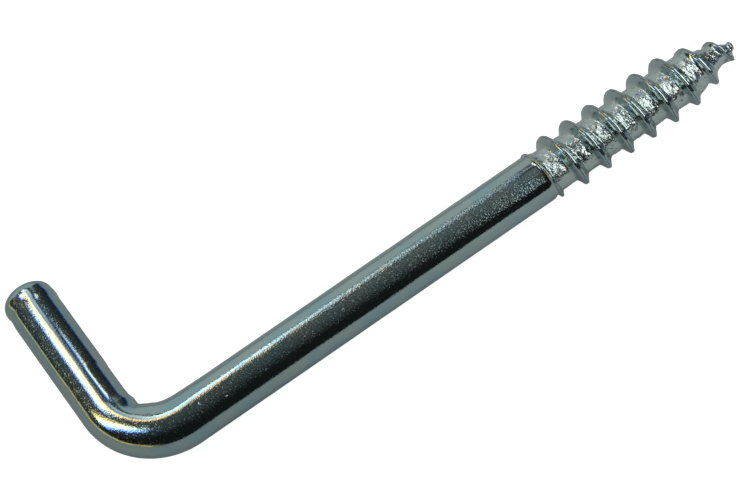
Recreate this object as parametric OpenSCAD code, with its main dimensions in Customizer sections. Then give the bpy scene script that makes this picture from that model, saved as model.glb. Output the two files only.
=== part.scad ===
// Screw-in hinge pin: one length of steel wire, bent square, with a wood-screw thread rolled on the
// long leg. The short leg is the pin a gate eye drops over. It lies on its side as it would on a
// bench: Z up, the hinge pin exactly along +Y, the screw along +X with its tip a little raised,
// because the thread is thicker than the wire. Millimetres.

/* [Wire] */

// Diameter of the plated wire
wire_d = 5.7; // [5.3:0.1:6.2]
// From the outside of the hinge pin to the tip of the screw
overall_l = 80; // [70:1:120]
// From the outside of the shank to the end of the hinge pin
pin_h = 26.4; // [20:0.5:50]
// Radius of the square bend, to the middle of the wire
bend_r = 6.2; // [4.5:0.1:9]

/* [Pin end] */

// Rounding of the edge of the pin's end
end_round_r = 1.4; // [0.6:0.1:1.8]
// Radius of the slight dome across the end face
end_dome_r = 9; // [6:0.5:20]

/* [Tool mark] */

// Depth of the nick the bending tool left in the inside of the bend
nick_depth = 0.25; // [0.1:0.05:0.4]
// Width of the nick along the wire
nick_w = 1.1; // [0.6:0.1:1.6]
// Where the nick lies round the bend, counted from the shank
nick_angle = 48; // [30:1:60]

/* [Thread] */

// Diameter over the crests of the thread
thread_d = 7.05; // [6.6:0.05:7.6]
// Diameter of the root between the crests, thinner than the wire
root_d = 5.05; // [4.6:0.05:5.1]
// Distance from one crest to the next
pitch = 2.98; // [2.6:0.02:3.2]
// Full turns of the ridge, from where it rises out of the shank to where it fades out in the tip
turns = 9; // [6:1:14]
// Width of the ridge where it leaves the root
ridge_base_w = 1.6; // [1.3:0.1:2]
// Width of the ridge across its rounded crest
ridge_crest_w = 0.5; // [0.3:0.05:0.7]
// Diameter over the first half turn, which rises low out of the shank
first_turn_d = 6.3; // [6.1:0.1:6.5]

/* [Tip] */

// Length of the tapered tip
cone_l = 6; // [5.5:0.1:8]
// Diameter of the taper where its blunt nib begins
nib_root_d = 1.9; // [1.6:0.1:2.1]
// Diameter of the nib at the very tip
nib_d = 0.9; // [0.6:0.05:1.2]

/* [Hidden] */

$fn = 72;
wire_r = wire_d / 2;
pin_end_y = pin_h - wire_r;
tip_x = overall_l - wire_r;
cone_x = tip_x - cone_l;

// The ridge starts at this angle round the screw, counted from +Y towards +Z, and turns that way
start_angle = -160;
// The ridge's last turn ends this far short of the tip
last_gap = 0.88;
start_x = tip_x - last_gap - turns * pitch;
// Where the crest passes +Y for the first time
first_crest_x = start_x - pitch * start_angle / 360;
// The shank steps down to the root just past the first turn's foot
shank_end_x = first_crest_x + ridge_base_w / 2 + 0.05;
step_l = 0.6;
// The threaded end takes over from the round shank just behind the first turn, and meets it in a
// face this much smaller in radius
join_x = start_x - ridge_base_w / 2 - 0.3;
join_inset = 0.02;

// It lies on the hinge pin and on the lowest full crest, so the screw is tilted up by this much
rest_crest_x = first_crest_x + 1.75 * pitch;
lay_tilt = asin((thread_d - wire_d) / 2 / rest_crest_x);

// Middle of the outline seen from above, put over the origin
middle_x = (tip_x - wire_r) / 2;
middle_y = (pin_end_y - thread_d / 2) / 2;

// Radius of the solid wire under the ridge, at a distance along the screw
function root_r(x) = lookup(x, [
    [join_x, wire_r - join_inset],
    [shank_end_x, wire_r],
    [shank_end_x + step_l, root_d / 2],
    [cone_x, root_d / 2],
    [tip_x - 1.15, nib_root_d / 2],
    [tip_x - 0.4, nib_d / 2 + 0.05],
    [tip_x - 0.15, nib_d / 2 - 0.05],
    [tip_x, nib_d / 4]
]);

// Radius of the crest after t turns past +Y: low out of the shank, full along the thread, then
// down with the taper
last_t = turns + start_angle / 360;
function crest_r(t) = lookup(t, [
    [-0.3, wire_r - 0.05],
    [0, first_turn_d / 2],
    [0.5, first_turn_d / 2 + 0.05],
    [0.9, thread_d / 2],
    [last_t - 2.4, thread_d / 2],
    [last_t - 2, thread_d / 2 - 0.2],
    [last_t - 1.55, thread_d / 2 - 0.65],
    [last_t - 1.05, thread_d / 2 - 0.8],
    [last_t - 0.55, thread_d / 2 - 1.65],
    [last_t - 0.1, thread_d / 2 - 2.15],
    [last_t, nib_d / 2]
]);

// The ridge narrows as it fades out
function ridge_w(t) = lookup(t, [[last_t - 1, 1], [last_t - 0.1, 0.5]]);

// Outline of the ridge along the screw: how far ahead, and how far up from root (0) to crest (1)
ridge_outline = [
    [-ridge_base_w / 2, 0],
    [-ridge_crest_w / 2, 0.86],
    [-ridge_crest_w / 5, 1],
    [ridge_crest_w / 5, 1],
    [ridge_crest_w / 2, 0.86],
    [ridge_base_w / 2, 0]
];

// One point of the ridge, as [distance along the screw, radius], after t turns
function ridge_point(t, p) =
    let (x = first_crest_x + pitch * t + p[0] * ridge_w(t), foot = root_r(x))
    [x, foot + max(crest_r(t) - foot, 0) * p[1]];

// The threaded end is built of lines that run along it, one at each of these steps round it. Each
// line crosses every turn of the ridge once, and then follows the taper down to the tip.
lines = 48;
n_ridge = len(ridge_outline);
nib_rings = [tip_x - 0.4, tip_x - 0.15, tip_x];
first_taper_row = 1 + turns * n_ridge;
first_nib_row = first_taper_row + n_ridge;
rows = first_nib_row + len(nib_rings);

function thread_line(a) =
    let (
        t0 = a / 360,
        taper_from = ridge_point(t0 + turns - 1, ridge_outline[n_ridge - 1])[0]
    )
    concat(
        [[join_x, root_r(join_x)]],
        [for (k = [0 : turns - 1], p = ridge_outline) ridge_point(t0 + k, p)],
        [
            for (i = [1 : n_ridge])
                let (x = taper_from + (nib_rings[0] - taper_from) * i / (n_ridge + 1))
                [x, root_r(x)]
        ],
        [for (x = nib_rings) [x, root_r(x)]]
    );

// Row of the line ahead that meets row i of line j. Past the last line the first one comes again,
// one turn of the ridge further on.
function ahead(j, i) =
    j < lines - 1 ? (j + 1) * rows + i
    : i < first_taper_row ? max(i, 1) + n_ridge
    : max(i, first_nib_row);

module threaded_end() {
    points = [
        for (j = [0 : lines - 1])
            let (a = start_angle + j * 360 / lines)
            for (q = thread_line(a)) [q[0], q[1] * cos(a), q[1] * sin(a)]
    ];
    sides = [
        for (j = [0 : lines - 1], i = [0 : rows - 2])
            let (a = j * rows + i, b = ahead(j, i), c = ahead(j, i + 1))
            each b == c ? [[a, a + 1, b]] : [[a, a + 1, c], [a, c, b]]
    ];
    // Where the ridge starts, the first line has one turn that the last line lacks
    start_fan = [for (i = [0 : n_ridge]) [(lines - 1) * rows, i + 1, i]];
    shank_face = [for (j = [0 : lines - 1]) j * rows];
    tip_face = [for (j = [lines - 1 : -1 : 0]) j * rows + rows - 1];
    polyhedron(points, concat(sides, start_fan, [shank_face, tip_face]), convexity = 10);
}

// The hinge pin, up its own axis: a plain wall with a rounded edge and a slightly domed end
module pin_profile() {
    leg_l = pin_end_y - bend_r;
    wall_l = leg_l - end_round_r;
    square([wire_r, wall_l]);
    intersection() {
        union() {
            translate([0, wall_l]) square([wire_r - end_round_r, end_round_r]);
            translate([wire_r - end_round_r, wall_l]) circle(end_round_r);
        }
        translate([0, leg_l - end_dome_r]) circle(end_dome_r, $fn = 360);
    }
}

module hinge_leg() {
    translate([0, bend_r, 0]) rotate([-90, 0, 0]) rotate_extrude() pin_profile();
}

module square_bend() {
    difference() {
        translate([bend_r, bend_r, 0]) rotate([0, 0, 180])
            rotate_extrude(angle = 90) translate([bend_r, 0]) circle(wire_r);
        bend_nick();
    }
}

// A crease across the inside of the bend
module bend_nick() {
    nick_r = (pow(nick_w / 2, 2) + pow(nick_depth, 2)) / (2 * nick_depth);
    translate([bend_r, bend_r, 0]) rotate([0, 0, 270 - nick_angle])
        translate([bend_r - wire_r - nick_r + nick_depth, 0, 0])
            cylinder(r = nick_r, h = wire_d, center = true);
}

module plain_shank() {
    translate([bend_r, 0, 0]) rotate([0, 90, 0]) cylinder(r = wire_r, h = join_x - bend_r);
}

module hinge_pin() {
    color([0.66, 0.70, 0.72])
        translate([-middle_x, -middle_y, wire_r]) rotate([0, -lay_tilt, 0])
            union() {
                hinge_leg();
                square_bend();
                plain_shank();
                threaded_end();
            }
}

hinge_pin();
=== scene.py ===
"""Screw-in hinge pin: the plated wire with its rolled thread, on a white table under studio lights."""

import math

import bpy
import numpy as np
from mathutils import Matrix, Vector


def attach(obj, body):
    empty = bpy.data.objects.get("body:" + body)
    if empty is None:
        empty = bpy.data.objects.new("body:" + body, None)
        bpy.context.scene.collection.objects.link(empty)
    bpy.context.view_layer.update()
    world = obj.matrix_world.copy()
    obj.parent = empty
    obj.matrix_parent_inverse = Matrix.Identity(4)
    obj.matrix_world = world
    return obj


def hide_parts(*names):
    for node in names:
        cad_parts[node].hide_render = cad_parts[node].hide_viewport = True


# Sizes of the object in millimetres, as in its CAD source. On its own axes the middle line of the pin
# is the Y axis, and that of the screw is the X axis.
WIRE_R = 2.85
OVERALL_L = 80.0
PIN_H = 26.4
BEND_R = 6.2
THREAD_R = 3.525
ROOT_R = 2.525
PITCH = 2.98
TURNS = 9
CONE_L = 6.0
STEP_L = 0.6
START_ANGLE = -160.0
LAST_GAP = 0.88
RIDGE_HALF_W = 0.8
STEP_GAP = 0.05
JOIN_GAP = 0.3
REST_TURN = 1.75

# Rounding of the pin's end, rise of its dome, and radius of the nib, within about a tenth of a
# millimetre of the source.
END_ROUND_R = 1.3
END_DOME = 0.12
NIB_R = 0.56

PIN_END_Y = PIN_H - WIRE_R
TIP_X = OVERALL_L - WIRE_R
CONE_X = TIP_X - CONE_L
START_X = TIP_X - LAST_GAP - TURNS * PITCH
FIRST_CREST_X = START_X - PITCH * START_ANGLE / 360
SHANK_END_X = FIRST_CREST_X + RIDGE_HALF_W + STEP_GAP
JOIN_X = START_X - RIDGE_HALF_W - JOIN_GAP
LAST_T = TURNS + START_ANGLE / 360
LAY_TILT = math.asin((THREAD_R - WIRE_R) / (FIRST_CREST_X + REST_TURN * PITCH))
MIDDLE = ((TIP_X - WIRE_R) / 2, (PIN_END_Y - THREAD_R) / 2)
BEND_LENGTH = BEND_R * math.pi / 2

# The surface is lines of points that run along the wire, side by side round it, from -160 degrees
# where 0 is the inside of the bend and +Y on the screw.
LINES = 160
ANGLES = np.radians(START_ANGLE + np.arange(LINES) * 360 / LINES)
ROUND = np.stack([np.cos(ANGLES), np.sin(ANGLES)], -1)

# How the points are spaced along the plain wire: radii of the rings on the end face, then how many
# rings each stretch has.
FACE_RING_RS = [0.15, 0.5, 0.9, 1.3]
EDGE_RINGS = 14
PIN_RINGS = 64
BEND_RINGS = 66
SHANK_RINGS = 70

# How far the inside of the bend stands out where the bending tool pinched it, in millimetres, at
# degrees round the bend from the pin. The marks begin with a small step on the pin, and fade in between
# these cosines of the angle from the middle of the inside.
PINCH_MARKS = [
    (-30, -0.06), (-10, -0.04), (0, 0), (8, 0.09), (14, 0.12), (20, 0.01), (25, -0.12), (30, -0.19),
    (35, -0.15), (40, -0.02), (48, 0.06), (55, 0.14), (62, 0.12), (85, 0.11), (95, 0.06), (110, 0.03),
    (125, 0),
]  # fmt: skip
PINCH_START_DEG = -40
PINCH_COS = (0.2, 0.8)

# Slight waves all along the wire, and finer wrinkles round the bend: height and size in millimetres.
WAVE_H, WAVE_SIZE, WAVE_STRETCH = 0.012, 1.6, (0.5, 1, 1)
WRINKLE_H, WRINKLE_SIZE = 0.008, 0.8
WRINKLE_MIDDLE_DEG, WRINKLE_REACH_DEG = 50, 75

# Marks of the shears on the pin: a small sideways kink near its end, and an end that is longer and
# wider on the outside of the bend.
KINK_Y, KINK_REACH, KINK_SHIFT = 21.35, 0.9, 0.08
SHEARED_FROM_Y, SHEARED_TO_Y = PIN_END_Y - 2.4, PIN_END_Y - 0.6
SHEARED_FROM_X, SHEARED_TO_X = 1.6, -0.8
SHEARED_LONGER, SHEARED_WIDER = 0.07, 0.03
SHEARED_REACH_RAD = 1.0

# Section of the thread's ridge: millimetres ahead of the crest, and height from root (0) to crest (1).
# The rolled crest is two lips with a seam between them. CREST and SEAM say how far each point belongs
# to them.
RIDGE = np.array(
    [
        (-0.80, 0.00), (-0.72, 0.08), (-0.63, 0.21), (-0.54, 0.36), (-0.45, 0.52), (-0.37, 0.67),
        (-0.30, 0.81), (-0.26, 0.88), (-0.22, 0.92), (-0.18, 0.945), (-0.155, 0.95), (-0.135, 0.94),
        (-0.115, 0.87), (-0.10, 0.79), (-0.08, 0.76), (-0.055, 0.82), (-0.035, 0.99), (-0.015, 0.996),
        (0.14, 0.970), (0.165, 0.955), (0.215, 0.88), (0.29, 0.73), (0.40, 0.53), (0.51, 0.33),
        (0.61, 0.17), (0.71, 0.06), (0.80, 0.00),
    ]
)  # fmt: skip
CREST_HALF_W, CREST_EDGE_W = 0.37, 0.12
CREST = np.clip((CREST_HALF_W - np.abs(RIDGE[:, 0])) / CREST_EDGE_W, 0, 1)
SEAM_BACK, SEAM_FRONT = -0.12, -0.04
SEAM = (RIDGE[:, 0] > SEAM_BACK) & (RIDGE[:, 0] < SEAM_FRONT)

# How far the crest wanders along the screw, in millimetres, and how much its height and the seam's
# change, as shares of the ridge's height. All three come from one row of the noise.
CREST_WANDER, WANDER_SIZE = 0.05, 0.45
CREST_DENTS, DENT_SIZE = 0.03, 0.3
SEAM_CHANGE, SEAM_SIZE = 0.07, 0.7
NOISE_ROW = (0.3, 0.7)

# Radius of the crest, how far it runs ahead of its even helix, and the width of the ridge, each
# against turns past +Y. The ridge rises low and narrow out of the shank and fades out in the taper.
CREST_R = [
    (-0.3, WIRE_R - 0.05), (-0.05, WIRE_R), (0, WIRE_R + 0.15), (0.5, WIRE_R + 0.22), (0.9, THREAD_R),
    (LAST_T - 2.4, THREAD_R), (LAST_T - 2, THREAD_R - 0.2), (LAST_T - 1.55, THREAD_R - 0.65),
    (LAST_T - 1.05, THREAD_R - 0.8), (LAST_T - 0.55, THREAD_R - 1.65), (LAST_T - 0.1, THREAD_R - 2.15),
    (LAST_T, 0.95),
]  # fmt: skip
CREST_AHEAD = [(0, 0.42), (0.4, 0)]
RIDGE_WIDTH = [(0.4, 0.35), (0.9, 1), (LAST_T - 1, 1), (LAST_T - 0.1, 0.6)]
FULL_RISE = 0.3

# Radius of the solid wire under the ridge, against the distance along the screw.
UNDER_RIDGE_R = [
    (SHANK_END_X, WIRE_R), (SHANK_END_X + STEP_L, ROOT_R), (CONE_X, ROOT_R), (TIP_X - 1.15, 0.80),
    (TIP_X - 0.75, 0.48), (TIP_X - 0.45, NIB_R), (TIP_X - 0.25, NIB_R), (TIP_X - 0.12, 0.38),
    (TIP_X - 0.04, 0.26), (TIP_X, 0.12),
]  # fmt: skip
VALLEY_STEPS = 10
TURN_ROWS = VALLEY_STEPS + len(RIDGE)
NIB_XS = TIP_X - np.array([1.0, 0.85, 0.7, 0.55, 0.42, 0.3, 0.2, 0.12, 0.05, 0.0])

# The hammered root: heights and sizes of its coarse and fine dimples, and how the coarse ones are
# stretched. It starts at the end of the shank, reaches this share of the ridge's height up its sides,
# and is weaker at the tip.
COARSE_H, COARSE_SIZE, COARSE_STRETCH = 0.06, 0.42, (1.2, 0.8, 0.8)
FINE_H, FINE_SIZE = 0.035, 0.22
HAMMERED_FROM_X, HAMMERED_FULL_X = SHANK_END_X - 0.1, SHANK_END_X + 0.4
HAMMERED_TO_SHARE = 0.35
WEAKER_FROM_X = TIP_X - 1.2
WEAKEST = 0.25

# The ridge stands a little higher on one side of the screw, and its skin is rough past the first crest.
HIGH_SIDE_H, HIGH_SIDE_DEG = 0.065, 27
ROUGH_H, ROUGH_SIZE = 0.012, 0.3
ROUGH_FULL_X = FIRST_CREST_X + 0.6

# The flake folded over the tip: its height, its place and its reach along the screw and round it.
FLAKE_H = 0.6
FLAKE_X, FLAKE_REACH = TIP_X - 0.9, 0.5
FLAKE_DEG, FLAKE_REACH_RAD = 207, 1.1

# Where the plating is grainy or dull, against millimetres along the wire pulled straight, from the
# thread at about -47 to the bend at about 0. The grain and the drawn line also depend on the degrees
# from the top of the wire.
SHANK_GRAIN = [(-49, 0.35), (-47, 1.1), (-9, 1.1), (-3, 0.8), (2, 0.5), (9, 0.3)]
DRAWN_LINE = [(-47, 0), (-46, 0.8), (-32, 0.7), (-15, 0.35), (-5, 0)]
BEND_DULLNESS = [(-9, 0), (-3, 0.1), (4, 0.17)]
GRAIN_DEG, GRAIN_REACH_DEG = -23, 27
GRAIN_ALL_ROUND, GRAIN_ON_TOP = 0.25, 1.1
LINE_DEG, LINE_REACH_DEG = 2, 18
DULLNESS, DULLNESS_OF_GRAIN = 0.1, 0.25

# Small nicks on the shank: where each is on the wire pulled straight, and how far it reaches each way.
NICKS = [
    ((-8.13, -1.56, 2.39), (0.18, 0.08, 0.1)),
    ((-5.34, -0.67, 2.77), (0.09, 0.3, 0.2)),
    ((-13.04, -1.58, 2.37), (0.08, 0.07, 0.07)),
    ((-22.24, -0.21, 2.84), (0.14, 0.1, 0.1)),
    ((-26.3, 0.31, 2.83), (0.08, 0.22, 0.1)),
    ((-23.2, -1.04, 2.65), (0.1, 0.1, 0.1)),
]

# Colours of the plating: two that mix in patches on the wire, then the thread's and its root's. The root's
# is paler partly for its duller rolled plating and partly as painted light that brightens the root.
WIRE_TINT = (0.36, 0.55, 0.58, 1)
PATCH_TINT = (0.45, 0.575, 0.55, 1)
THREAD_TINT = (0.43, 0.54, 0.54, 1)
# Pale root colour: partly the dull rolled zinc, partly painted light standing in for a brighter lamp on the
# root.
ROOT_ZINC_AND_PAINTED_LIGHT = (0.56, 0.67, 0.64, 1)
THREAD_TINT_FROM, THREAD_TINT_TO = -46.5, -49

# Roughness and metalness of the plating, and what the thread's root adds to each. Then the ranges of
# the noise over which the dull mottles and the patches of the other tint come in.
ROUGHNESS, ROOT_ROUGHER = 0.06, 0.1
METALLIC, ROOT_MORE_METALLIC = 1.0, -0.07
MOTTLES = (0.48, 0.75)
PATCHES = (0.35, 0.65)

# Height of the bump that stands for the surface's finest relief, in metres, and what the grain of the
# root, the drawing lines and the nicks add to it.
BUMP_M = 0.000022
ROOT_GRAIN = 1.6
DRAWING_LINES, LINE_STRETCH = 0.1, (0.05, 1, 1)
NICK_HEIGHT = 2.0

# The lamps stand round the bend, apart from one close to the thread. These two places are in metres.
FOCUS = Vector((-0.032, -0.006, 0.003))
THREAD_MIDDLE = Vector((0.024, -0.012, 0.003))

# How a softbox's light changes from one edge to the other.
BLUE_TO_AMBER = [
    (0.0, (0.03, 0.05, 0.4)), (0.15, (0.15, 0.3, 1)), (0.32, (0.5, 0.75, 1)), (0.45, (0.9, 1, 0.9)),
    (0.6, (1, 1, 0.8)), (0.75, (1, 0.7, 0.3)), (0.9, (0.7, 0.42, 0.1)), (1.0, (0.3, 0.15, 0.02)),
]  # fmt: skip
PIN_LINE = [
    (0.0, (0.08, 0.1, 0.5)), (0.06, (0.2, 0.2, 0.75)), (0.24, (0.5, 0.56, 0.72)),
    (0.42, (0.82, 0.68, 0.62)), (0.62, (0.85, 0.6, 0.3)), (0.8, (0.8, 0.36, 0.1)),
    (0.9, (0.55, 0.27, 0.09)), (0.94, (0.1, 0.05, 0.03)), (1.0, (0.0, 0.0, 0.0)),
]  # fmt: skip
SHANK_LINE = [
    (0.0, (0.02, 0.05, 0.09)), (0.3, (0.25, 0.32, 0.4)), (0.5, (0.85, 0.93, 1)), (1.0, (1, 1, 1)),
]  # fmt: skip
PALE_TO_DARK = [(0.0, (1, 1, 1)), (0.4, (1, 1, 1)), (1.0, (0.1, 0.1, 0.1))]
DARK_TO_PALE = [(0.0, (0.3, 0.3, 0.3)), (0.4, (0.5, 0.5, 0.5)), (0.8, (1, 1, 1)), (1.0, (1, 1, 1))]

# Half the table's width in metres, its colour, and how much brighter the camera and the metal see it.
TABLE_HALF = 3.0
BOARD = (0.62, 0.64, 0.64, 1)
TABLE_SEEN, TABLE_MIRRORED = 0.95, 0.045

# The room that lights the object: the colour of its pale parts, its brightest direction, and where its
# light rises along that direction, from dark to bright.
PALE = (0.97, 1, 1, 1)
BRIGHTEST = (-0.15, 0.6, 0.79)
ROOM_FROM, ROOM_TO = 0.2, 1.0
ROOM_DARK, ROOM_BRIGHT = 0.012, 0.09

# The pale backdrop: its strength, and the soft edges of its top and its sides, as the upward and the
# +Y part of a direction.
BACKDROP = 0.43
BACKDROP_TOP = (0.72, 0.6)
BACKDROP_SIDES = (0.66, 0.78)

# The glow along the horizon: its strength, its soft upper edge, its colours, and the soft edges of each
# side, as the part of a direction along X.
HORIZON = 1.5
HORIZON_TOP = (0.13, -0.02)
HORIZON_SIDES = (((1, 0.68, 0.24, 1), -0.5, -0.85), ((0.03, 0.12, 0.5, 1), 0.5, 0.85))

# The camera: focal length and sensor in millimetres, its place and aim in metres, and its roll.
LENS, SENSOR = 139.0, 36.0
CAMERA_PLACE = Vector((-0.05210, -0.14502, 0.27255))
CAMERA_AIM = Vector((-0.00424, -0.00591, 0.00285))
CAMERA_ROLL_DEG = -17.279
CAMERA_CLIP = (0.01, 10.0)

# Factors that scatter the lattice points of the noise.
HASH_FACTORS = np.array([374761393, 668265263, 1442695041])
SEED_FACTOR = 974711
MIX_FACTOR = 1274126177


def lookup(x, table):
    """Value at x of a table of (x, value) rows, straight between them."""
    return np.interp(x, *np.transpose(table))


def ramp(x, start, end):
    """A straight rise from 0 at start to 1 at end."""
    return np.clip((x - start) / (end - start), 0, 1)


def ease(share):
    """A share from 0 to 1 that starts and ends smoothly."""
    return share * share * (3 - 2 * share)


def spot(x, centre, reach):
    """A smooth hump: 1 at the centre, 0 from this reach outwards."""
    return np.clip(1 - ((x - centre) / reach) ** 2, 0, None) ** 2


def noise(points, cell_mm, seed):
    """Smooth random values from -1 to 1 at points, on a lattice with cells of this many millimetres."""
    q = np.asarray(points, float) / cell_mm
    cell = np.floor(q).astype(np.int64)
    f = ease(q - cell)
    value = np.zeros(q.shape[:-1])
    for corner in np.ndindex(2, 2, 2):
        h = (((cell + corner) & 0xFFFF) @ HASH_FACTORS + seed * SEED_FACTOR) & 0x7FFFFFFF
        h = (h ^ (h >> 13)) * MIX_FACTOR
        h = ((h ^ (h >> 16)) & 0xFFFF) / 32767.5 - 1
        value += h * np.prod(np.where(corner, f, 1 - f), -1)
    return value


def ring(centre, inward, r, length):
    """One ring of the plain wire: its points, their outward directions, and their places on the wire
    pulled straight (distance along it, and across it towards the inside of the bend and up)."""
    outward = np.stack([inward[0] * ROUND[:, 0], inward[1] * ROUND[:, 0], ROUND[:, 1]], -1)
    points = np.array([centre[0], centre[1], 0]) + r * outward
    straight = np.stack([np.full(LINES, length), r * ROUND[:, 0], r * ROUND[:, 1]], -1)
    return points, outward, straight


def screw_length(x):
    """Distance along the wire pulled straight, for a distance along the screw."""
    return BEND_R - BEND_LENGTH - (x - BEND_R)


def plain_rings():
    """Rings from the pin's end, along the pin and round the bend, to the thread."""
    flat_r = WIRE_R - END_ROUND_R
    edge_y = PIN_END_Y - END_DOME - END_ROUND_R
    rings = []
    for r in FACE_RING_RS:
        y = PIN_END_Y - END_DOME * (r / flat_r) ** 2
        rings.append(ring((0, y), (1, 0), r, PIN_END_Y))
    for a in np.radians(np.linspace(90, 0, EDGE_RINGS)):
        y = edge_y + END_ROUND_R * math.sin(a)
        rings.append(ring((0, y), (1, 0), flat_r + END_ROUND_R * math.cos(a), y))
    for y in np.linspace(edge_y, BEND_R, PIN_RINGS)[1:]:
        rings.append(ring((0, y), (1, 0), WIRE_R, y))
    for a in np.linspace(0, math.pi / 2, BEND_RINGS)[1:]:
        inward = (math.cos(a), math.sin(a))
        centre = (BEND_R - BEND_R * inward[0], BEND_R - BEND_R * inward[1])
        rings.append(ring(centre, inward, WIRE_R, BEND_R - BEND_R * a))
    for x in np.linspace(BEND_R, JOIN_X, SHANK_RINGS)[1:-1]:
        rings.append(ring((x, 0), (0, 1), WIRE_R, screw_length(x)))
    return rings


def unevenness(straight, angle):
    """How far the plain wire stands out from its true round: pinch marks, waves and wrinkles."""
    bend_deg = np.degrees((BEND_R - straight[:, 0]) / BEND_R)
    on_inside = ease(ramp(np.cos(angle), *PINCH_COS))
    pinched = on_inside * lookup(bend_deg, PINCH_MARKS) * (bend_deg > PINCH_START_DEG)
    waves = WAVE_H * noise(straight * WAVE_STRETCH, WAVE_SIZE, seed=21)
    in_bend = spot(bend_deg, WRINKLE_MIDDLE_DEG, WRINKLE_REACH_DEG)
    return pinched + waves + in_bend * WRINKLE_H * noise(straight, WRINKLE_SIZE, seed=22)


def shear_marks(points, length, angle):
    """The points of the pin moved as the shears left them."""
    points[:, 0] += KINK_SHIFT * spot(length, KINK_Y, KINK_REACH)
    near_end = ramp(length, SHEARED_FROM_Y, SHEARED_TO_Y) ** 2
    on_left = ramp(points[:, 0], SHEARED_FROM_X, SHEARED_TO_X)
    points[:, 1] += SHEARED_LONGER * near_end * on_left
    points[:, 0] -= SHEARED_WIDER * near_end * spot(angle % (2 * math.pi), math.pi, SHEARED_REACH_RAD)
    return points


def marked_wire():
    """The plain wire with its marks: its points, and their places on the wire pulled straight."""
    rings = plain_rings()
    points, outward, straight = (np.concatenate(parts) for parts in zip(*rings))
    angle = np.tile(ANGLES, len(rings))
    points = points + outward * unevenness(straight, angle)[:, None]
    return shear_marks(points, straight[:, 0], angle), straight


def ridge_section(t):
    """Section of the ridge after t turns: distances along the screw, and shares of its height."""
    along_helix = np.array([t * 2 * math.pi * ROOT_R, *NOISE_ROW])
    wander = CREST_WANDER * noise(along_helix, WANDER_SIZE, seed=11)
    dents = CREST_DENTS * noise(along_helix, DENT_SIZE, seed=12) - CREST_DENTS
    seam = SEAM_CHANGE * noise(along_helix, SEAM_SIZE, seed=13)
    crest_x = FIRST_CREST_X + PITCH * t + lookup(t, CREST_AHEAD)
    x = crest_x + (RIDGE[:, 0] + CREST * wander) * lookup(t, RIDGE_WIDTH)
    return x, RIDGE[:, 1] + CREST * dents + SEAM * seam


def root_points(x):
    """Points on the wire under the ridge, in thread_line's terms."""
    return list(zip(x, lookup(x, UNDER_RIDGE_R), np.zeros(len(x))))


def between(start, end, count):
    """This many places, evenly spaced between two others."""
    return start + (end - start) * np.arange(1, count + 1) / (count + 1)


def thread_line(angle):
    """Points of one line along the threaded end, as (distance, radius, share of the ridge's height)."""
    line = [(JOIN_X, WIRE_R, 0.0)]
    for k in range(TURNS):
        t = angle / (2 * math.pi) + k
        x, share = ridge_section(t)
        line += root_points(between(line[-1][0], x[0], VALLEY_STEPS))
        foot = lookup(x, UNDER_RIDGE_R)
        rise = np.maximum(lookup(t, CREST_R) - foot, 0)
        line += list(zip(x, foot + rise * share, share * np.minimum(rise / FULL_RISE, 1)))
    line += root_points(between(line[-1][0], NIB_XS[0], TURN_ROWS))
    line += root_points(NIB_XS)
    return np.array(line)


def thread_relief(x, place, share, on_root):
    """How far the threaded end stands out from its plain form: dimples, high side, rough skin and flake."""
    dimples = COARSE_H * noise(place * COARSE_STRETCH, COARSE_SIZE, seed=31)
    dimples = dimples + FINE_H * noise(place, FINE_SIZE, seed=32)
    on_ridge = np.clip(share, 0, 1)
    high_side = HIGH_SIDE_H * (0.5 + 0.5 * np.cos(ANGLES - math.radians(HIGH_SIDE_DEG)))
    rough = ramp(x, FIRST_CREST_X, ROUGH_FULL_X) * ROUGH_H * noise(place, ROUGH_SIZE, seed=33)
    from_flake = np.angle(np.exp(1j * (ANGLES - math.radians(FLAKE_DEG))))
    flake = FLAKE_H * spot(x, FLAKE_X, FLAKE_REACH) * spot(from_flake, 0, FLAKE_REACH_RAD)
    return on_root * dimples + on_ridge * high_side + on_ridge * rough + flake


def screw_points(x, r):
    """Points of the threaded end on the object's own axes."""
    return np.concatenate([x[..., None], r[..., None] * np.broadcast_to(ROUND, x.shape + (2,))], -1)


def marked_thread():
    """The threaded end with its marks: rows of points, their places on the wire pulled straight, and how
    much of the hammered root each has."""
    x, r, share = np.moveaxis(np.stack([thread_line(a) for a in ANGLES], 1), -1, 0)
    on_root = ramp(share, HAMMERED_TO_SHARE, 0) * ramp(x, HAMMERED_FROM_X, HAMMERED_FULL_X)
    on_root = on_root * np.maximum(ramp(x, TIP_X, WEAKER_FROM_X), WEAKEST)
    r = r + thread_relief(x, screw_points(x, r), share, on_root)
    points = screw_points(x, r)
    straight = screw_points(screw_length(x), r)
    return points, straight, on_root


def thread_faces(first_row, rows):
    """Faces between the lines of the thread. The line after the last is the first, a turn further on."""
    first_taper = 1 + TURNS * TURN_ROWS
    first_nib = first_taper + TURN_ROWS

    def at(i, j):
        """Number of a line's point in the mesh."""
        return (first_row + i) * LINES + j

    def ahead(i, j):
        """Number of the point beside it on the next line."""
        if j < LINES - 1:
            return at(i, j + 1)
        return at(max(i, 1) + TURN_ROWS, 0) if i < first_taper else at(max(i, first_nib), 0)

    faces = []
    for j in range(LINES):
        for i in range(rows - 1):
            face = (at(i, j), ahead(i, j), ahead(i + 1, j), at(i + 1, j))
            faces.append(face if face[1] != face[2] else (face[0], face[1], face[3]))
    faces += [(at(0, LINES - 1), at(i, 0), at(i + 1, 0)) for i in range(TURN_ROWS + 1)]
    return faces


def wire_faces(plain_rows, thread_rows):
    """Faces of the whole surface: round the plain wire, round the thread, and over both ends."""
    faces = []
    for i in range(plain_rows):
        for j in range(LINES):
            k = (j + 1) % LINES
            faces.append((i * LINES + j, i * LINES + k, (i + 1) * LINES + k, (i + 1) * LINES + j))
    faces += thread_faces(plain_rows, thread_rows)
    last_row = (plain_rows + thread_rows - 1) * LINES
    faces.append(tuple(reversed(range(LINES))))
    faces.append(tuple(range(last_row, last_row + LINES)))
    return faces


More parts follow.
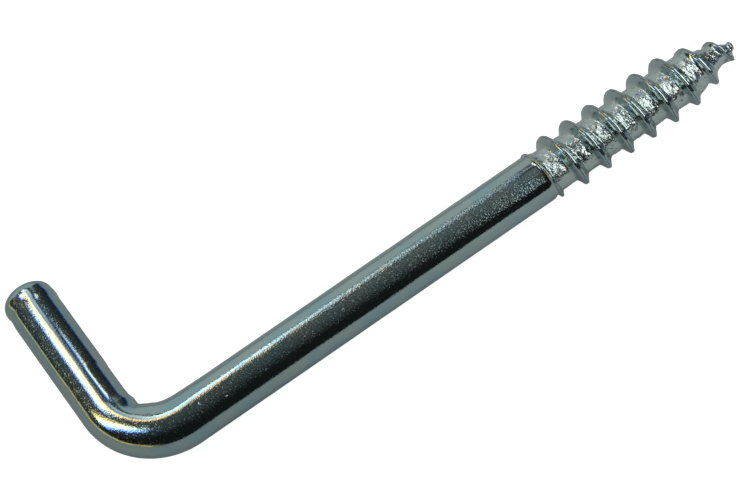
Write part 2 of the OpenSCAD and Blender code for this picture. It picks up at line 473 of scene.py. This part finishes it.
def in_frame(points):
    """From millimetres on the object's own axes to metres in the frame, laid down on pin and thread."""
    c, s = math.cos(LAY_TILT), math.sin(LAY_TILT)
    x = points[:, 0] * c - points[:, 2] * s - MIDDLE[0]
    z = points[:, 0] * s + points[:, 2] * c + WIRE_R
    return np.stack([x, points[:, 1] - MIDDLE[1], z], -1) / 1000


def add_layer(mesh, name, values):
    """Keep a number or a vector at each point of the mesh, for the material to read."""
    kind, field = ("FLOAT", "value") if values.ndim == 1 else ("FLOAT_VECTOR", "vector")
    data = mesh.attributes.new(name, kind, "POINT").data
    data.foreach_set(field, values.astype(np.float32).ravel())


def add_layers(mesh, straight, root):
    """Add the places on the wire pulled straight, the hammered root, the grain and the dullness."""
    length = straight[:, 0]
    from_top = np.degrees(np.arctan2(straight[:, 1], straight[:, 2]))
    round_wire = GRAIN_ALL_ROUND + GRAIN_ON_TOP * spot(from_top, GRAIN_DEG, GRAIN_REACH_DEG)
    drawn_line = lookup(length, DRAWN_LINE) * spot(from_top, LINE_DEG, LINE_REACH_DEG)
    grain = lookup(length, SHANK_GRAIN) * round_wire + drawn_line
    add_layer(mesh, "straight", straight)
    add_layer(mesh, "root", root)
    add_layer(mesh, "grain", grain)
    add_layer(mesh, "matt", DULLNESS + DULLNESS_OF_GRAIN * grain + lookup(length, BEND_DULLNESS))


def hinge_pin_mesh():
    """The whole wire, from the pin's end to the nib, as one closed surface."""
    wire_points, wire_straight = marked_wire()
    thread_points, thread_straight, on_root = marked_thread()
    points = np.concatenate([wire_points, thread_points.reshape(-1, 3)])
    straight = np.concatenate([wire_straight, thread_straight.reshape(-1, 3)])
    root = np.concatenate([np.zeros(len(wire_points)), on_root.ravel()])
    faces = wire_faces(len(wire_points) // LINES, len(thread_points))
    mesh = bpy.data.meshes.new("hinge_pin_wire")
    mesh.from_pydata(in_frame(points).tolist(), [], faces)
    mesh.update()
    mesh.shade_smooth()
    add_layers(mesh, straight, root)
    return mesh


def connect(tree, socket, value):
    """Give a socket its value, or link it to another node's output."""
    if isinstance(value, bpy.types.NodeSocket):
        tree.links.new(value, socket)
    else:
        socket.default_value = value


def node(tree, kind, inputs=None, **settings):
    """A new node with these settings, whose inputs are values or other nodes' outputs."""
    n = tree.nodes.new(kind)
    for key, value in settings.items():
        setattr(n, key, value)
    for key, value in (inputs or {}).items():
        connect(tree, n.inputs[key], value)
    return n


def math_node(tree, operation, *values):
    return node(tree, "ShaderNodeMath", dict(enumerate(values)), operation=operation).outputs[0]


def vector_math(tree, operation, *values):
    outputs = node(tree, "ShaderNodeVectorMath", dict(enumerate(values)), operation=operation).outputs
    return outputs["Value" if operation in ("LENGTH", "DOT_PRODUCT") else "Vector"]


def axis_of(tree, vector, axis):
    return node(tree, "ShaderNodeSeparateXYZ", {"Vector": vector}).outputs[axis]


def layer(tree, name, output="Fac"):
    return node(tree, "ShaderNodeAttribute", attribute_name=name).outputs[output]


def noise_node(tree, place, scale, detail):
    """Noise from 0 to 1, with this many cells to the millimetre of the wire pulled straight."""
    inputs = {"Vector": place, "Scale": scale, "Detail": detail}
    return node(tree, "ShaderNodeTexNoise", inputs).outputs["Fac"]


def smooth_range(tree, value, start, end):
    """A smooth rise from 0 at start to 1 at end."""
    inputs = {"Value": value, "From Min": start, "From Max": end}
    return node(tree, "ShaderNodeMapRange", inputs, interpolation_type="SMOOTHSTEP").outputs["Result"]


def mixed(tree, factor, first, second):
    """The first colour where the factor is 0, and the second where it is 1."""
    mix = node(tree, "ShaderNodeMix", {"Factor": factor, 6: first, 7: second}, data_type="RGBA")
    return mix.outputs[2]


def background(tree, color, strength):
    return node(tree, "ShaderNodeBackground", {"Color": color, "Strength": strength}).outputs[0]


def new_tree(owner):
    owner.use_nodes = True
    owner.node_tree.nodes.clear()
    return owner.node_tree


def zinc_relief(tree, place, root, grain):
    """Bump of the grain, strongest in the thread's root, of the drawing lines and of the nicks."""
    strength = math_node(tree, "MULTIPLY_ADD", root, ROOT_GRAIN, grain)
    grains = math_node(tree, "MULTIPLY", noise_node(tree, place, scale=6.5, detail=1.0), strength)
    stretched = vector_math(tree, "MULTIPLY", place, LINE_STRETCH)
    lines = noise_node(tree, stretched, scale=5.0, detail=1.0)
    height = math_node(tree, "MULTIPLY_ADD", lines, DRAWING_LINES, grains)
    for centre, reach in NICKS:
        scaled = vector_math(tree, "DIVIDE", vector_math(tree, "SUBTRACT", place, centre), reach)
        nick = smooth_range(tree, vector_math(tree, "LENGTH", scaled), 1.0, 0.0)
        height = math_node(tree, "MULTIPLY_ADD", nick, NICK_HEIGHT, height)
    inputs = {"Strength": 1.0, "Distance": BUMP_M, "Height": height}
    return node(tree, "ShaderNodeBump", inputs).outputs["Normal"]


def zinc_tint(tree, place, root):
    """Blue-grey with greener patches on the wire, greyer on the thread and palest in its root, where the
    pale colour is partly its duller plating and partly painted light.
    """
    patches = noise_node(tree, place, scale=0.3, detail=3.0)
    tint = mixed(tree, smooth_range(tree, patches, *PATCHES), WIRE_TINT, PATCH_TINT)
    on_thread = smooth_range(tree, axis_of(tree, place, "X"), THREAD_TINT_FROM, THREAD_TINT_TO)
    tint = mixed(tree, on_thread, tint, THREAD_TINT)
    # The root's pale colour is partly painted light that brightens the root in place of a brighter lamp.
    return mixed(tree, root, tint, ROOT_ZINC_AND_PAINTED_LIGHT)


def zinc_material():
    """Bright zinc plate: smooth with dull mottles on the wire, and rougher in the thread's root."""
    mat = bpy.data.materials.new("zinc_plate")
    tree = new_tree(mat)
    place = layer(tree, "straight", "Vector")
    root = layer(tree, "root")
    mottle = smooth_range(tree, noise_node(tree, place, scale=6.0, detail=2.0), *MOTTLES)
    least = math_node(tree, "MULTIPLY_ADD", root, ROOT_ROUGHER, ROUGHNESS)
    inputs = {
        "Base Color": zinc_tint(tree, place, root),
        "Metallic": math_node(tree, "MULTIPLY_ADD", root, ROOT_MORE_METALLIC, METALLIC),
        "Roughness": math_node(tree, "MULTIPLY_ADD", mottle, layer(tree, "matt"), least),
        "Normal": zinc_relief(tree, place, root, layer(tree, "grain")),
    }
    shader = node(tree, "ShaderNodeBsdfPrincipled", inputs)
    node(tree, "ShaderNodeOutputMaterial", {"Surface": shader.outputs["BSDF"]})
    return mat


def direction(x_deg, y_deg):
    """Unit direction whose angle from straight up is made of these two, towards +X and towards +Y."""
    angle = math.radians(math.hypot(x_deg, y_deg))
    azimuth = math.atan2(y_deg, x_deg)
    level = math.sin(angle)
    return Vector((level * math.cos(azimuth), level * math.sin(azimuth), math.cos(angle)))


def fade_light(lamp, fade, axis):
    """Make a lamp's light change from edge to edge as these stops say, along it (X) or across it (Y)."""
    tree = new_tree(lamp)
    place = node(tree, "ShaderNodeNewGeometry").outputs["Parametric"]
    colors = node(tree, "ShaderNodeValToRGB", {"Fac": axis_of(tree, place, axis)})
    stops = colors.color_ramp.elements
    stops.remove(stops[1])
    stops[0].position, stops[0].color = fade[0][0], (*fade[0][1], 1)
    for position, color in fade[1:]:
        stops.new(position).color = (*color, 1)
    glow = node(tree, "ShaderNodeEmission", {"Color": colors.outputs["Color"]})
    node(tree, "ShaderNodeOutputLight", {"Surface": glow.outputs[0]})


def softbox(name, centre, far_end, width_deg, radiance, distance=0.5, around=FOCUS, fade=None, axis="X"):
    """A rectangular lamp that faces a point: its middle and the middle of one short side are given as
    directions from there (see direction), its width in degrees and its distance in metres."""
    towards = direction(*centre)
    along = direction(*far_end)
    along = along / along.dot(towards) - towards
    lamp = bpy.data.lights.new(name, "AREA")
    lamp.shape = "RECTANGLE"
    lamp.size = 2 * distance * along.length
    lamp.size_y = 2 * distance * math.tan(math.radians(width_deg) / 2)
    lamp.energy = radiance * math.pi * lamp.size * lamp.size_y
    if fade:
        fade_light(lamp, fade, axis)
    along.normalize()
    turned = Matrix((along, towards.cross(along), towards)).transposed().to_4x4()
    obj = bpy.data.objects.new(name, lamp)
    obj.matrix_world = Matrix.Translation(around + towards * distance) @ turned
    bpy.context.scene.collection.objects.link(obj)


def make_lamps():
    """Softboxes for the bright lines on the wire, and two glows, from above and close to the thread. After
    its name each has its middle, the middle of one short side, its width and its radiance."""
    softbox("softbox_left", (-43, 8), (-22, -1), 24, 3.0, fade=BLUE_TO_AMBER, axis="Y")
    softbox("softbox_pin", (-9.75, 28.2), (6, 28.4), 8.5, 4.0, fade=PIN_LINE)
    softbox("softbox_shank", (2.5, 36), (8.5, 37), 18, 2.2, fade=SHANK_LINE, axis="Y")
    softbox("softbox_far", (12.5, 36.5), (16.5, 37), 11, 0.8)
    softbox("strip_right", (31, 27), (39.5, 26), 8, 2.4, fade=BLUE_TO_AMBER)
    softbox("glow_above", (19, -13), (28, -13), 66, 0.105, distance=0.4, fade=DARK_TO_PALE, axis="Y")
    close = {"distance": 0.1, "around": THREAD_MIDDLE}
    softbox("glow_thread", (27, -21), (27, 15), 25, 3.0, fade=PALE_TO_DARK, axis="Y", **close)


def floor_material():
    """Pale board that keeps the soft shadow. The camera sees it much brighter, as a white background,
    and the metal a little brighter."""
    mat = bpy.data.materials.new("white_table")
    tree = new_tree(mat)
    path = node(tree, "ShaderNodeLightPath").outputs
    seen = math_node(tree, "MULTIPLY", path["Is Camera Ray"], TABLE_SEEN)
    mirrored = math_node(tree, "MAXIMUM", path["Is Glossy Ray"], path["Is Transmission Ray"])
    strength = math_node(tree, "MULTIPLY_ADD", mirrored, TABLE_MIRRORED, seen)
    glow = node(tree, "ShaderNodeEmission", {"Color": PALE, "Strength": strength})
    board = node(tree, "ShaderNodeBsdfDiffuse", {"Color": BOARD})
    both = node(tree, "ShaderNodeAddShader", {0: board.outputs[0], 1: glow.outputs[0]})
    node(tree, "ShaderNodeOutputMaterial", {"Surface": both.outputs[0]})
    return mat


def make_floor():
    mesh = bpy.data.meshes.new("table")
    corners = [(x * TABLE_HALF, y * TABLE_HALF, 0) for x, y in ((-1, -1), (1, -1), (1, 1), (-1, 1))]
    mesh.from_pydata(corners, [], [(0, 1, 2, 3)])
    mesh.materials.append(floor_material())
    obj = bpy.data.objects.new("table", mesh)
    bpy.context.scene.collection.objects.link(obj)


def room_light(tree, ray, up, heading):
    """A dim room, brightest overhead towards +Y, with a pale backdrop lower down on that side."""
    low = smooth_range(tree, up, *BACKDROP_TOP)
    at_back = smooth_range(tree, axis_of(tree, heading, "Y"), *BACKDROP_SIDES)
    backdrop = math_node(tree, "MULTIPLY", low, at_back)
    lean = vector_math(tree, "DOT_PRODUCT", ray, BRIGHTEST)
    inputs = {"Value": lean, "From Min": ROOM_FROM, "From Max": ROOM_TO}
    inputs |= {"To Min": ROOM_DARK, "To Max": ROOM_BRIGHT}
    room = node(tree, "ShaderNodeMapRange", inputs).outputs["Result"]
    return background(tree, PALE, math_node(tree, "MULTIPLY_ADD", backdrop, BACKDROP, room))


def make_world():
    """White to the camera. To everything else, a dim room whose horizon glows amber towards -X and blue
    towards +X."""
    world = bpy.data.worlds.new("studio")
    bpy.context.scene.world = world
    tree = new_tree(world)
    ray = node(tree, "ShaderNodeTexCoord").outputs["Generated"]
    up = axis_of(tree, ray, "Z")
    heading = vector_math(tree, "NORMALIZE", vector_math(tree, "MULTIPLY", ray, (1, 1, 0)))
    dim = room_light(tree, ray, up, heading)
    horizon = smooth_range(tree, up, *HORIZON_TOP)
    for color, start, end in HORIZON_SIDES:
        to_side = smooth_range(tree, axis_of(tree, heading, "X"), start, end)
        rim = math_node(tree, "MULTIPLY", math_node(tree, "MULTIPLY", horizon, to_side), HORIZON)
        glow = background(tree, color, rim)
        dim = node(tree, "ShaderNodeAddShader", {0: dim, 1: glow}).outputs[0]
    white = background(tree, (1, 1, 1, 1), 1.0)
    camera_ray = node(tree, "ShaderNodeLightPath").outputs["Is Camera Ray"]
    mix = node(tree, "ShaderNodeMixShader", {0: camera_ray, 1: dim, 2: white})
    node(tree, "ShaderNodeOutputWorld", {"Surface": mix.outputs[0]})


def make_camera():
    cam = bpy.data.cameras.new("camera")
    cam.lens = LENS
    cam.sensor_width = SENSOR
    cam.clip_start, cam.clip_end = CAMERA_CLIP
    obj = bpy.data.objects.new("camera", cam)
    turned = (CAMERA_AIM - CAMERA_PLACE).to_track_quat("-Z", "Y").to_matrix().to_4x4()
    roll = Matrix.Rotation(math.radians(CAMERA_ROLL_DEG), 4, "Z")
    obj.matrix_world = Matrix.Translation(CAMERA_PLACE) @ turned @ roll
    bpy.context.scene.collection.objects.link(obj)
    bpy.context.scene.camera = obj


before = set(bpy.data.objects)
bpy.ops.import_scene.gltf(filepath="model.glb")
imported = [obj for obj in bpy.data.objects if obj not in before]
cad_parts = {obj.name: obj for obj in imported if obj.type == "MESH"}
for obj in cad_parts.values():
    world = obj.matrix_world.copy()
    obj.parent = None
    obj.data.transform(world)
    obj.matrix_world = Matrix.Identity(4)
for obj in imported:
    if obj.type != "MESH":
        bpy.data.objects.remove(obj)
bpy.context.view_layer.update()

make_camera()
pin = bpy.data.objects.new("hinge_pin_wire", hinge_pin_mesh())
bpy.context.scene.collection.objects.link(pin)
pin.data.materials.append(zinc_material())
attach(pin, "root")
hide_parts("hinge_pin")

make_floor()
make_world()
make_lamps()
bpy.context.scene.view_settings.view_transform = "Standard"
